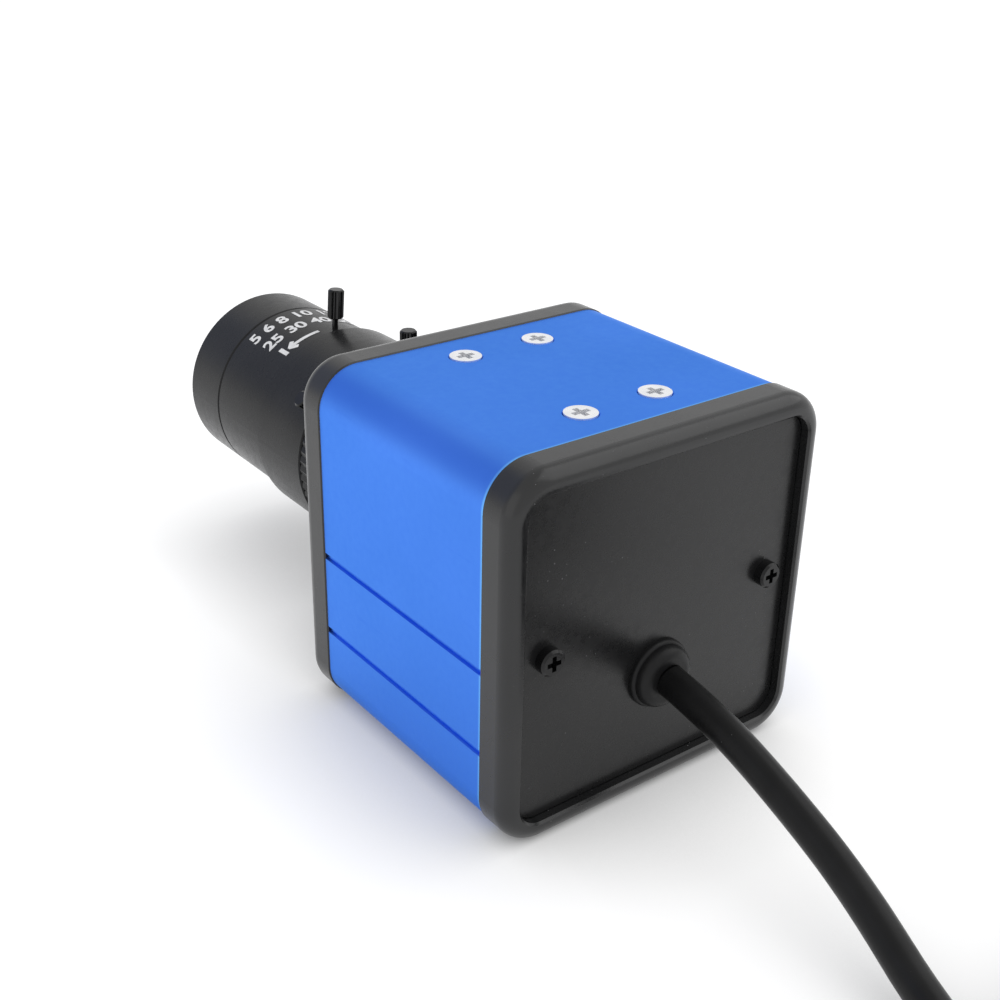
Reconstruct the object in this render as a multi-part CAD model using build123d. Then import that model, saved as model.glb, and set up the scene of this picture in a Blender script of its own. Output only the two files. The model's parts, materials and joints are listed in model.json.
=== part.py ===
# A USB box camera with a varifocal lens, in millimetres. A square extruded case is closed at
# each end by a moulded bezel that frames a recessed plate. The front plate carries the board
# and the threaded lens holder, and the rear plate carries the cable's grommet. The lens points
# along -Y, +Z is up, and the origin is the mouth of the tripod thread, on the surface that the
# camera stands on. Lens pieces are turned about Z with their heights measured ahead of the
# middle of the case, and are then laid along -Y.

import os
from math import atan2, cos, degrees, pi, radians, sin, sqrt, tan

from build123d import *

os.makedirs("parts", exist_ok=True)

# Case tube
case_width = 60.0
case_height = 60.6
case_length = 42.8
case_wall = 1.8
case_corner = 7.0
groove_width = 1.1
groove_floor = 0.75
groove_depth = 0.5
groove_rises = (14.7, 28.65)  # groove middles above the tube's underside

# Bezels, one moulding at each end, and the plates that they frame
bezel_proud = 0.2  # beyond the tube all round, so the camera stands on its bezels
bezel_depth = 6.6
bezel_rounding = 2.7
bezel_seam_chamfer = 0.25
window_width = 54.2
window_height = 54.0
window_corner = 4.0
window_chamfer = 0.35
ledge_width = 2.5
lip_depth = 3.0
lip_thickness = 1.5
lip_gap = 0.1
plate_recess = 1.7
plate_thickness = 1.5
plate_gap = 0.15

# Screws that hold the plates, in screw channels of the tube
end_screw_spread = 44.0
end_screw_lift = 0.3  # above the tube's middle
end_head_diameter = 4.3
end_head_height = 1.75
end_head_chamfer = 0.35
end_screw_diameter = 2.6
end_screw_grip = 7.0  # into the tube's channel
channel_wall = 1.5
channel_web = 2.6
ear_margin = 2.6  # bezel material around the screw's hole

# Countersunk screws in the top and bottom walls
cross_screw_spread_x = 14.5
cross_screw_spread_y = 28.4
sunk_head_diameter = 5.2
sunk_head_rim = 0.3
sunk_head_proud = 0.15
sunk_hole_diameter = 5.7
sunk_screw_diameter = 3.0
sunk_screw_length = 5.5
recess_share = 0.58  # width of a cross recess against its head's diameter
recess_slot_share = 0.18
recess_depth_share = 0.22
nut_plate_margin = 3.8  # around the screws' centres
top_nut_plate_thickness = 4.0
tripod_plate_thickness = 5.0
tripod_thread_diameter = 5.1  # tapping size of the quarter-inch thread
tripod_spigot_diameter = 13.8
thread_gap = 0.05  # radial, between a screw and its hole
hole_gap = 0.3  # radial, where a screw or a spigot passes through

# Board, sensor and lens holder
board_size = 38.0
board_corner = 1.1
board_thickness = 1.6
board_hole_spacing = 32.0
standoff_diameter = 4.5
standoff_spigot_diameter = 3.2
standoff_spigot_length = 1.0
board_screw_diameter = 1.9
board_screw_length = 5.0
small_head_diameter = 3.6
small_head_height = 1.3
small_head_chamfer = 0.3
sensor_width = 11.4
sensor_height = 10.7
sensor_thickness = 1.2
flange_focal_distance = 12.526
lens_seat_proud = 3.0  # lens holder's seat ahead of the front plate
holder_diameter = 30.0
holder_aperture = 13.0
holder_screw_spacing = 26.0
mount_thread_diameter = 25.3
mount_thread_length = 4.0
sensor_well_diameter = 22.0
filter_diameter = 16.0
filter_thickness = 0.8
filter_back_gap = 1.4  # from the sensor's face to the filter
chip_size = 10.0
chip_thickness = 0.9
chip_place = (-4.0, 8.5)  # from the board's middle
connector_width = 7.5
connector_height = 3.6
connector_depth = 4.0

# Lens body, as distances ahead of its seat on the holder
mount_barrel_length = 8.7
iris_ring_length = 5.4
focus_ring_length = 6.0
wide_length = 16.4
zoom_ring_length = 17.2
front_ring_length = 11.8
ring_gap = 0.2  # between neighbours along the axis
tube_diameter = 29.2
tube_wall = 1.8
wide_wall = 4.0  # of the wide section and the two knurled rings, around the tube
slim_wall = 3.0  # of the zoom ring and the front ring, around the tube
wide_chamfer = 0.9
edge_chamfer = 0.25
running_gap = 0.05  # radial, between a ring or a cell and the tube
mount_wall = 2.0
mount_waist_step = 1.0
mount_waist_length = 3.6
rear_bore = 22.0
rear_tube_seat = 4.0  # of the tube inside the mount barrel
front_tube_seat = 4.2  # of the tube inside the front ring
knurl_teeth = 64
knurl_depth = 0.35

# Locking thumb screws, one on each turning ring
lock_head_diameter = 3.1
lock_head_length = 5.7
lock_reach = 6.8  # of its end beyond the wide section
lock_neck_diameter = 1.2
lock_thread_diameter = 1.6
lock_tip_gap = 0.3
lock_teeth = 18
lock_knurl_depth = 0.16
lock_chamfer = 0.3
zoom_lock_back = 2.6  # from the ring's rear edge
zoom_lock_angle = -4.0  # from straight up towards +X
focus_lock_back = 2.0
focus_lock_angle = 52.0
iris_lock_back = 3.4
iris_lock_angle = 0.0

# Glass and its cells
front_glass_edge = 3.4
front_glass_curve = 38.0
front_ledge = 0.7  # between the glass and the filter thread
front_wall = 1.4  # around the filter thread
retainer_overlap = 1.4  # over the glass
retainer_thickness = 1.4
cell_wall = 2.2
glass_gap = 0.05
variator_length = 8.0
focus_cell_length = 7.0
inner_glass_curve = 22.0
iris_place = 26.2
iris_thickness = 3.0
iris_rim = 2.3
iris_leaf_thickness = 0.5
iris_opening = 10.0
rear_glass_thickness = 5.0
rear_retainer_thickness = 1.4
rear_retainer_wall = 1.3
rear_shoulder = 1.2

# Cam pins: each ring drives the cell under it along the lens axis
cam_pin_diameter = 1.2
cam_gap = 0.15
cam_groove_depth = 1.45
cam_pin_grip = 1.9  # in the cell's wall
zoom_turn_back = 35.0
zoom_turn_ahead = 40.0
zoom_travel_rate = 10.0  # along the lens axis for each radian
focus_turn_back = 45.0
focus_turn_ahead = 45.0
focus_travel_rate = 2.0

# Grommet, cable and its inner lead
cable_diameter = 5.2
grommet_height = 20.4
grommet_flange_diameter = 11.4
grommet_flange_thickness = 1.0
grommet_flange_rounding = 0.6
grommet_barrel_diameter = 10.4
grommet_barrel_length = 3.0
grommet_rounding = 1.7
grommet_neck_diameter = 8.2
grommet_inner_flange = 1.5
strain_tie_width = 2.5
strain_tie_diameter = 8.6
inner_lead_length = 13.3
wire_diameter = 1.0
wire_pitch = 1.3
wire_bundle_step = 0.55  # from the bundle's middle, across and up
lead_plug = (6.8, 3.1, 4.5)  # width, height, depth
bend_share = 0.45  # of its shorter run that a bend takes up on each side

# The cable's route from the grommet, chosen by hand: a sagging stretch, then the floor
cable_route = [
    (0.0, 38.5, 19.1),
    (0.8, 52.0, 15.5),
    (2.5, 69.0, 10.1),
    (7.2, 88.0, 3.1),
    (17.1, 122.6, 3.1),
]

# The length that is put away: a round coil, its ties and the tail that lies on top of it
coil_middle_radius = 31.0
coil_turns_across = 4
coil_turns_high = 2
coil_pitch = 5.25
coil_rounding = 1.7
coil_entry_angle = -16.0  # where the cable meets the coil, from +X, going round anticlockwise
tie_thickness = 0.5
tie_width = 9.0
tie_angles = (239.0, 156.0)
# The tail's points across from the coil's middle, and above the floor, up to the plug's boot
tail_route = [
    (9.4, -37.7, 8.4),
    (20.6, -33.0, 10.9),
    (30.2, -24.5, 13.0),
    (36.6, -13.3, 13.9),
    (38.3, -1.9, 13.9),
    (35.7, 9.2, 13.9),
    (29.2, 18.6, 14.4),
    (19.6, 24.8, 15.0),
    (8.5, 26.9, 15.0),
]

# Plug
plug_body = (16.0, 8.0, 20.0)  # width, height, length
plug_body_rounding = 1.6
plug_boot_tip_diameter = 6.4
plug_boot_diameter = 7.4
plug_boot_length = 6.0
plug_shell = (12.0, 4.5, 12.0)
plug_shell_wall = 0.3
plug_shell_corner = 0.6
plug_window = (2.0, 2.4)
plug_window_place = 6.6  # from the shell's root
plug_tongue = (11.0, 1.8, 11.0)
plug_contact = (1.1, 0.1, 8.0)
plug_contact_pitch = 2.3

# Places worked out from the sizes above
half_length = case_length / 2
case_middle = bezel_proud + case_height / 2
case_top = bezel_proud + case_height
rim_reach = half_length + bezel_depth
plate_face = rim_reach - plate_recess
plate_back = plate_face - plate_thickness
bore_width = case_width - 2 * case_wall
bore_height = case_height - 2 * case_wall
bore_corner = case_corner - case_wall
end_screw_x = end_screw_spread / 2
end_screw_z = case_middle + end_screw_lift
axis_height = case_middle
seat = plate_face + lens_seat_proud
sensor_face = seat - flange_focal_distance
board_front = sensor_face - sensor_thickness
board_back = board_front - board_thickness
tube_radius = tube_diameter / 2
tube_bore = tube_diameter - 2 * tube_wall
wide_diameter = tube_diameter + 2 * wide_wall
slim_diameter = tube_diameter + 2 * slim_wall
mount_barrel_diameter = tube_diameter + 2 * mount_wall
mount_waist_diameter = mount_barrel_diameter - 2 * mount_waist_step
filter_thread_diameter = slim_diameter - 2 * front_wall
front_glass_diameter = filter_thread_diameter - 2 * front_ledge
front_glass_clear = front_glass_diameter - 2 * retainer_overlap
lock_top_radius = wide_diameter / 2 + lock_reach
iris_start = seat + mount_barrel_length + ring_gap
focus_start = iris_start + iris_ring_length + ring_gap
wide_start = focus_start + focus_ring_length + ring_gap
zoom_start = wide_start + wide_length + ring_gap
front_start = zoom_start + zoom_ring_length + ring_gap
front_end = front_start + front_ring_length
tube_back = seat + mount_barrel_length - rear_tube_seat
tube_front = front_start + front_tube_seat
glass_seat = tube_front + ring_gap
mouth = plate_face + grommet_barrel_length


def lathe(*profile):
    # A solid turned about Z from its (radius, height) corners.
    outline = Polyline(*[(radius, 0, height) for radius, height in profile], close=True)
    return revolve(make_face(outline), Axis.Z)


def tube(outer_radius, inner_radius, start, end):
    return lathe((inner_radius, start), (outer_radius, start), (outer_radius, end), (inner_radius, end))


def prism(section, start, end):
    # Extrudes a section drawn in X and Z from one place along Y to another.
    return extrude(Plane((0, end, 0), x_dir=(1, 0, 0), z_dir=(0, -1, 0)) * section, amount=end - start)


def laid_ahead(solid):
    # Turns a solid built along Z so that its heights run along the lens axis, towards -Y.
    return Pos(0, 0, axis_height) * Rot(90, 0, 0) * solid


def facing_back(solid, x, y, z):
    return Pos(x, y, z) * Rot(-90, 0, 0) * solid


def facing_front(solid, x, y, z):
    return Pos(x, -y, z) * Rot(90, 0, 0) * solid


def cross_recess(head_diameter):
    # The cutter of a cross recess, hanging down from the origin.
    width = head_diameter * recess_share
    slot = head_diameter * recess_slot_share
    depth = head_diameter * recess_depth_share
    hang = (Align.CENTER, Align.CENTER, Align.MAX)
    return Box(width, slot, depth, align=hang) + Box(slot, width, depth, align=hang)


def pan_screw(head_diameter, head_height, chamfer_size, diameter, length):
    # Head above the origin, threaded shank below it.
    head = head_diameter / 2
    shank = diameter / 2
    body = lathe(
        (0, head_height),
        (head - chamfer_size, head_height),
        (head, head_height - chamfer_size),
        (head, 0),
        (shank, 0),
        (shank, -length),
        (0, -length),
    )
    return body - Pos(0, 0, head_height) * cross_recess(head_diameter)


def sunk_screw():
    # The origin is at the surface that the head is let into.
    head = sunk_head_diameter / 2
    shank = sunk_screw_diameter / 2
    cone_top = sunk_head_proud - sunk_head_rim
    body = lathe(
        (0, sunk_head_proud),
        (head, sunk_head_proud),
        (head, cone_top),
        (shank, cone_top - (head - shank)),
        (shank, -sunk_screw_length),
        (0, -sunk_screw_length),
    )
    return body - Pos(0, 0, sunk_head_proud) * cross_recess(sunk_head_diameter)


def sunk_hole():
    # The cutter of a countersunk hole through the case's wall.
    rim = sunk_hole_diameter / 2
    bore = sunk_screw_diameter / 2 + hole_gap
    return lathe(
        (0, case_wall),
        (rim, case_wall),
        (rim, 0),
        (bore, bore - rim),
        (bore, -2 * case_wall),
        (0, -2 * case_wall),
    )


def wall_screw_places():
    return [
        (x * cross_screw_spread_x / 2, y * cross_screw_spread_y / 2) for x in (-1, 1) for y in (-1, 1)
    ]


def groove_section(side, rise):
    edge = side * case_width / 2
    floor = side * (case_width / 2 - groove_depth)
    beyond = side * (case_width / 2 + groove_depth)
    corners = [
        (beyond, rise + groove_width / 2),
        (edge, rise + groove_width / 2),
        (floor, rise + groove_floor / 2),
        (floor, rise - groove_floor / 2),
        (edge, rise - groove_width / 2),
        (beyond, rise - groove_width / 2),
    ]
    return make_face(Polyline(*corners, close=True))


def housing_shell():
    section = RectangleRounded(case_width, case_height, case_corner)
    section -= RectangleRounded(bore_width, bore_height, bore_corner)
    web_length = bore_width / 2 - end_screw_x
    channel_radius = end_screw_diameter / 2 + thread_gap
    for side in (-1, 1):
        web_middle = side * (end_screw_x + web_length / 2)
        section += Pos(side * end_screw_x, end_screw_lift) * Circle(channel_radius + channel_wall)
        section += Pos(web_middle, end_screw_lift) * Rectangle(web_length + case_wall / 2, channel_web)
        section -= Pos(side * end_screw_x, end_screw_lift) * Circle(channel_radius)
        for rise in groove_rises:
            section -= groove_section(side, rise - case_height / 2)
    shell = prism(Pos(0, case_middle) * section, -half_length, half_length)
    for x, y in wall_screw_places():
        shell -= Pos(x, y, case_top) * sunk_hole()
        shell -= Pos(x, y, bezel_proud) * Rot(180, 0, 0) * sunk_hole()
    spigot_hole = tripod_spigot_diameter / 2 + thread_gap
    shell -= Pos(0, 0, bezel_proud) * Cylinder(spigot_hole, 3 * case_wall)
    return shell


def window(width_less=0.0, corner_less=0.0):
    return RectangleRounded(
        window_width - width_less, window_height - width_less, window_corner - corner_less
    )


def bezel():
    # The rear bezel. The front one is its mirror image.
    middle = Pos(0, case_middle)
    outer = RectangleRounded(
        case_width + 2 * bezel_proud, case_height + 2 * bezel_proud, case_corner + bezel_proud
    )
    frame = prism(middle * outer, half_length, rim_reach)
    frame = fillet(frame.edges().group_by(Axis.Y)[-1], bezel_rounding)
    frame = chamfer(frame.edges().group_by(Axis.Y)[0], bezel_seam_chamfer)
    ledge = window(2 * ledge_width, ledge_width / 2)
    frame -= prism(middle * ledge, half_length, plate_back)
    frame -= prism(middle * window(), plate_back, rim_reach)
    inner_edges = frame.edges().filter_by_position(Axis.Y, rim_reach - 0.01, rim_reach + 0.01)
    window_edges = [
        edge
        for edge in inner_edges
        if abs(edge.center().X) < window_width / 2 + window_chamfer
        and abs(edge.center().Z - case_middle) < window_height / 2 + window_chamfer
    ]
    frame = chamfer(window_edges, window_chamfer)
    lip_width = bore_width - 2 * lip_gap
    lip_height = bore_height - 2 * lip_gap
    lip = RectangleRounded(lip_width, lip_height, bore_corner - lip_gap)
    lip -= RectangleRounded(
        lip_width - 2 * lip_thickness, lip_height - 2 * lip_thickness, bore_corner - lip_gap - lip_thickness
    )
    frame += prism(middle * lip, half_length - lip_depth, half_length)
    hole = end_screw_diameter / 2 + hole_gap
    ear_half = hole + ear_margin
    for side in (-1, 1):
        web_side = side * (window_width / 2 + end_screw_x) / 2
        web_length = window_width / 2 - end_screw_x
        ear = Pos(side * end_screw_x, end_screw_z) * Circle(ear_half)
        ear += Pos(web_side, end_screw_z) * Rectangle(web_length, 2 * ear_half)
        frame += prism(ear, half_length, plate_back)
        channel = channel_web + 2 * lip_gap
        lip_notch = Pos(side * bore_width / 2, end_screw_z) * Rectangle(4 * lip_thickness, channel)
        frame -= prism(lip_notch, half_length - lip_depth, half_length)
        frame -= prism(Pos(side * end_screw_x, end_screw_z) * Circle(hole), half_length, plate_back)
    return frame


def plate_section():
    section = Pos(0, case_middle) * window(2 * plate_gap, plate_gap)
    hole = end_screw_diameter / 2 + hole_gap
    for side in (-1, 1):
        section -= Pos(side * end_screw_x, end_screw_z) * Circle(hole)
    return section


def rear_plate():
    neck_hole = Pos(0, grommet_height) * Circle(grommet_neck_diameter / 2 + thread_gap)
    return prism(plate_section() - neck_hole, plate_back, plate_face)


def board_corner_places():
    step = board_hole_spacing / 2
    return [(x * step, axis_height + z * step) for x in (-1, 1) for z in (-1, 1)]


def front_plate():
    holder_hole = Pos(0, axis_height) * Circle(holder_diameter / 2 + hole_gap)
    plate = prism(plate_section() - holder_hole, -plate_face, -plate_back)
    for x, z in board_corner_places():
        spigot_hole = Pos(x, z) * Circle(standoff_spigot_diameter / 2 + thread_gap)
        plate -= prism(spigot_hole, -plate_back - standoff_spigot_length, -plate_back)
    return plate


def end_screws(place):
    screw = pan_screw(
        end_head_diameter,
        end_head_height,
        end_head_chamfer,
        end_screw_diameter,
        plate_face - half_length + end_screw_grip,
    )
    return Compound([place(screw, side * end_screw_x, plate_face, end_screw_z) for side in (-1, 1)])


def wall_screws(height, turn):
    return Compound([Pos(x, y, height) * Rot(turn, 0, 0) * sunk_screw() for x, y in wall_screw_places()])


def nut_plate(bottom, thickness):
    plate = Pos(0, 0, bottom) * Box(
        cross_screw_spread_x + 2 * nut_plate_margin,
        cross_screw_spread_y + 2 * nut_plate_margin,
        thickness,
        align=(Align.CENTER, Align.CENTER, Align.MIN),
    )
    for x, y in wall_screw_places():
        plate -= Pos(x, y, bottom) * Cylinder(sunk_screw_diameter / 2 + thread_gap, 3 * thickness)
    return plate


def top_nut_plate():
    return nut_plate(case_top - case_wall - top_nut_plate_thickness, top_nut_plate_thickness)


def tripod_plate():
    floor = bezel_proud + case_wall
    plate = nut_plate(floor, tripod_plate_thickness)
    plate += Cylinder(
        tripod_spigot_diameter / 2, floor, align=(Align.CENTER, Align.CENTER, Align.MIN)
    )
    return plate - Cylinder(tripod_thread_diameter / 2, 3 * (floor + tripod_plate_thickness))


def board_standoffs():
    hole = board_screw_diameter / 2 + thread_gap
    spigot = standoff_spigot_diameter / 2
    body = standoff_diameter / 2
    blind_end = board_front + board_screw_length
    post = lathe(
        (hole, board_front),
        (body, board_front),
        (body, plate_back),
        (spigot, plate_back),
        (spigot, plate_back + standoff_spigot_length),
        (0, plate_back + standoff_spigot_length),
        (0, blind_end),
        (hole, blind_end),
    )
    return Compound([Pos(x, 0, z) * Rot(90, 0, 0) * post for x, z in board_corner_places()])


def small_screw():
    return pan_screw(
        small_head_diameter,
        small_head_height,
        small_head_chamfer,
        board_screw_diameter,
        board_screw_length,
    )


def board_screws():
    return Compound(
        [facing_back(small_screw(), x, -board_back, z) for x, z in board_corner_places()]
    )


def holder_screw_places():
    return [(side * holder_screw_spacing / 2, axis_height) for side in (-1, 1)]


def holder_screws():
    return Compound(
        [facing_back(small_screw(), x, -board_back, z) for x, z in holder_screw_places()]
    )


def sensor_board():
    section = Pos(0, axis_height) * RectangleRounded(board_size, board_size, board_corner)
    hole = board_screw_diameter / 2 + thread_gap
    for x, z in board_corner_places() + holder_screw_places():
        section -= Pos(x, z) * Circle(hole)
    return prism(section, -board_front, -board_back)


def image_sensor():
    body = Pos(0, axis_height) * Rectangle(sensor_width, sensor_height)
    return prism(body, -sensor_face, -board_front)


def controller_chip():
    place = Pos(chip_place[0], axis_height + chip_place[1])
    return prism(place * Rectangle(chip_size, chip_size), -board_back, -board_back + chip_thickness)


def board_connector():
    place = Pos(0, grommet_height)
    return prism(
        place * Rectangle(connector_width, connector_height), -board_back, -board_back + connector_depth
    )


def cs_holder():
    outer = holder_diameter / 2
    well = sensor_well_diameter / 2
    filter_back = sensor_face + filter_back_gap
    filter_front = filter_back + filter_thickness
    filter_radius = filter_diameter / 2 + glass_gap
    throat = holder_aperture / 2
    thread = mount_thread_diameter / 2 + thread_gap
    thread_back = seat - mount_thread_length - ring_gap
    holder = lathe(
        (well, board_front),
        (outer, board_front),
        (outer, seat),
        (thread, seat),
        (thread, thread_back),
        (throat, filter_front + ring_gap),
        (throat, filter_front),
        (filter_radius, filter_front),
        (filter_radius, filter_back),
        (well, filter_back),
    )
    hole = board_screw_diameter / 2 + thread_gap
    depth = board_screw_length - board_thickness + ring_gap
    for side in (-1, 1):
        place = Pos(side * holder_screw_spacing / 2, 0, board_front)
        holder -= place * Cylinder(hole, depth, align=(Align.CENTER, Align.CENTER, Align.MIN))
    return laid_ahead(holder)


def ir_filter():
    back = sensor_face + filter_back_gap
    front = back + filter_thickness
    radius = filter_diameter / 2
    return laid_ahead(lathe((0, back), (radius, back), (radius, front), (0, front)))


def lens_mount_barrel():
    thread = mount_thread_diameter / 2
    waist = mount_waist_diameter / 2
    outer = mount_barrel_diameter / 2
    bore = rear_bore / 2
    lip = bore - rear_shoulder
    front = seat + mount_barrel_length
    body = lathe(
        (bore, seat - mount_thread_length),
        (thread - edge_chamfer, seat - mount_thread_length),
        (thread, seat - mount_thread_length + edge_chamfer),
        (thread, seat),
        (waist, seat),
        (waist, seat + mount_waist_length),
        (outer, seat + mount_waist_length + outer - waist),
        (outer, front - edge_chamfer),
        (outer - edge_chamfer, front),
        (tube_radius + running_gap, front),
        (tube_radius + running_gap, tube_back),
        (lip, tube_back),
        (lip, tube_back - rear_shoulder),
        (bore, tube_back - rear_shoulder),
    )
    return laid_ahead(body)


def middle_of_zoom_ring():
    return zoom_start + zoom_ring_length / 2


def middle_of_focus_ring():
    return focus_start + focus_ring_length / 2


def groove_floor_radius():
    return tube_radius + running_gap + cam_groove_depth


def cam_pin(middle):
    # From its grip in the cell's wall out into the ring's groove, at the lens's underside.
    foot = tube_bore / 2 - running_gap - cam_pin_grip
    top = groove_floor_radius() - 2 * cam_gap
    pin = Cylinder(cam_pin_diameter / 2, top - foot, align=(Align.CENTER, Align.CENTER, Align.MIN))
    return laid_ahead(Pos(0, -foot, middle) * Rot(90, 0, 0) * pin)


def cam_slot(middle, rate, turn_back, turn_ahead):
    # The cutter of the straight slot that keeps a pin from turning with its ring.
    back = middle - rate * radians(turn_back)
    ahead = middle + rate * radians(turn_ahead)
    place = Plane((0, 0, (back + ahead) / 2), x_dir=(0, 0, 1), z_dir=(0, -1, 0))
    slot = SlotCenterToCenter(ahead - back, cam_pin_diameter + 2 * cam_gap)
    return extrude(place * slot, amount=tube_radius + running_gap / 2)


def cam_groove(middle, rate, turn_back, turn_ahead):
    # The cutters of the helical groove inside a ring. Turning the ring forwards by the right-hand
    # rule brings the part of the groove that lies further ahead to the pin.
    inner = tube_radius - running_gap
    outer = groove_floor_radius()
    width = cam_pin_diameter + 2 * cam_gap
    back = middle - rate * radians(turn_back)
    height = rate * radians(turn_back + turn_ahead)
    path = Helix(pitch=2 * pi * rate, height=height, radius=(inner + outer) / 2, lefthand=True)
    start = Plane(path @ 0, x_dir=(1, 0, 0), z_dir=path % 0)
    groove = sweep(start * Rectangle(outer - inner, width), path=path, is_frenet=True)
    end = Cylinder(width / 2, outer - inner, align=(Align.CENTER, Align.CENTER, Align.MIN))
    back_end = Pos(inner, 0, 0) * Rot(0, 90, 0) * end
    front_end = Pos(0, 0, height) * Rot(0, 0, -turn_back - turn_ahead) * back_end
    place = Pos(0, 0, back) * Rot(0, 0, turn_back - 90)
    return [place * cutter for cutter in (groove, back_end, front_end)]


def lens_barrel():
    bore = tube_bore / 2
    wide = wide_diameter / 2
    wide_end = wide_start + wide_length
    body = lathe(
        (bore, tube_back),
        (tube_radius, tube_back),
        (tube_radius, wide_start),
        (wide - edge_chamfer, wide_start),
        (wide, wide_start + edge_chamfer),
        (wide, wide_end - wide_chamfer),
        (wide - wide_chamfer, wide_end),
        (tube_radius, wide_end),
        (tube_radius, tube_front),
        (bore, tube_front),
    )
    body -= cam_slot(middle_of_zoom_ring(), zoom_travel_rate, zoom_turn_back, zoom_turn_ahead)
    body -= cam_slot(middle_of_focus_ring(), focus_travel_rate, focus_turn_back, focus_turn_ahead)
    return laid_ahead(body)


def knurled_bar(radius, teeth, depth, start, end):
    points = []
    for k in range(2 * teeth):
        reach = radius - depth * (k % 2)
        points.append((reach * sin(pi * k / teeth), reach * cos(pi * k / teeth)))
    return Pos(0, 0, start) * extrude(make_face(Polyline(*points, close=True)), amount=end - start)


def plain_ring(outer_diameter, start, length):
    outer = outer_diameter / 2
    inner = tube_radius + running_gap
    end = start + length
    return lathe(
        (inner, start),
        (outer - edge_chamfer, start),
        (outer, start + edge_chamfer),
        (outer, end - edge_chamfer),
        (outer - edge_chamfer, end),
        (inner, end),
    )


def lock_hole(ahead, angle):
    hole = Cylinder(
        lock_thread_diameter / 2 + thread_gap, wide_diameter, align=(Align.CENTER, Align.CENTER, Align.MIN)
    )
    return Pos(0, 0, ahead) * Rot(0, 0, -angle) * Rot(-90, 0, 0) * hole


def knurled_ring(start, length, lock_back, lock_angle):
    ring = plain_ring(wide_diameter, start, length)
    ring &= knurled_bar(wide_diameter / 2, knurl_teeth, knurl_depth, start, start + length)
    return ring - lock_hole(start + lock_back, lock_angle)


def iris_ring():
    return laid_ahead(knurled_ring(iris_start, iris_ring_length, iris_lock_back, iris_lock_angle))


def focus_ring():
    ring = knurled_ring(focus_start, focus_ring_length, focus_lock_back, focus_lock_angle)
    middle = middle_of_focus_ring()
    for cutter in cam_groove(middle, focus_travel_rate, focus_turn_back, focus_turn_ahead):
        ring -= cutter
    return laid_ahead(ring)


def zoom_ring():
    ring = plain_ring(slim_diameter, zoom_start, zoom_ring_length)
    ring -= lock_hole(zoom_start + zoom_lock_back, zoom_lock_angle)
    middle = middle_of_zoom_ring()
    for cutter in cam_groove(middle, zoom_travel_rate, zoom_turn_back, zoom_turn_ahead):
        ring -= cutter
    return laid_ahead(ring)


def lock_screw(ring_diameter, ahead, angle):
    # Built along Z with heights as radii from the lens axis, then turned to its angle.
    head = lock_head_diameter / 2
    neck = lock_neck_diameter / 2
    thread = lock_thread_diameter / 2
    tip = tube_radius + lock_tip_gap
    head_start = lock_top_radius - lock_head_length
    body = lathe(
        (0, tip),
        (thread, tip),
        (thread, ring_diameter / 2),
        (neck, ring_diameter / 2),
        (neck, head_start),
        (head - lock_chamfer, head_start),
        (head, head_start + lock_chamfer),
        (head, lock_top_radius - lock_chamfer),
        (head - lock_chamfer, lock_top_radius),
        (0, lock_top_radius),
    )
    body &= knurled_bar(head, lock_teeth, lock_knurl_depth, tip, lock_top_radius)
    return laid_ahead(Pos(0, 0, ahead) * Rot(0, 0, -angle) * Rot(-90, 0, 0) * body)


def zoom_lock_screw():
    return lock_screw(slim_diameter, zoom_start + zoom_lock_back, zoom_lock_angle)


def focus_lock_screw():
    return lock_screw(wide_diameter, focus_start + focus_lock_back, focus_lock_angle)


def iris_lock_screw():
    return lock_screw(wide_diameter, iris_start + iris_lock_back, iris_lock_angle)


def front_ring():
    outer = slim_diameter / 2
    tube_bore_radius = tube_radius + running_gap
    glass = front_glass_diameter / 2 + glass_gap
    thread = filter_thread_diameter / 2
    glass_front = glass_seat + front_glass_edge
    body = lathe(
        (tube_bore_radius, front_start),
        (outer - edge_chamfer, front_start),
        (outer, front_start + edge_chamfer),
        (outer, front_end - edge_chamfer),
        (outer - edge_chamfer, front_end),
        (thread + edge_chamfer, front_end),
        (thread, front_end - edge_chamfer),
        (thread, glass_front),
        (glass, glass_front),
        (glass, glass_seat),
        (tube_bore_radius, glass_seat),
    )
    return laid_ahead(body)


def dome_height(radius, curve):
    return curve - sqrt(curve * curve - radius * radius)


def front_lens():
    edge = front_glass_diameter / 2
    clear = front_glass_clear / 2
    rim = glass_seat + front_glass_edge
    top = rim + dome_height(clear, front_glass_curve)
    half = clear / 2
    half_height = top - dome_height(half, front_glass_curve)
    outline = [
        Polyline((0, 0, glass_seat), (edge, 0, glass_seat), (edge, 0, rim), (clear, 0, rim)),
        ThreePointArc((clear, 0, rim), (half, 0, half_height), (0, 0, top)),
        Line((0, 0, top), (0, 0, glass_seat)),
    ]
    return laid_ahead(revolve(make_face(outline), Axis.Z))


def retaining_ring():
    start = glass_seat + front_glass_edge
    outer = filter_thread_diameter / 2 - thread_gap
    inner = front_glass_clear / 2 + glass_gap
    return laid_ahead(
        lathe(
            (inner, start),
            (outer, start),
            (outer, start + retainer_thickness),
            (inner + retainer_thickness / 2, start + retainer_thickness),
        )
    )


def cell(middle, length):
    outer = tube_bore / 2 - running_gap
    inner = outer - cell_wall
    body = tube(outer, inner, middle - length / 2, middle + length / 2)
    hole = Cylinder(
        cam_pin_diameter / 2 + thread_gap, outer + 1, align=(Align.CENTER, Align.CENTER, Align.MIN)
    )
    return laid_ahead(body - Pos(0, 0, middle) * Rot(90, 0, 0) * hole)


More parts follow.
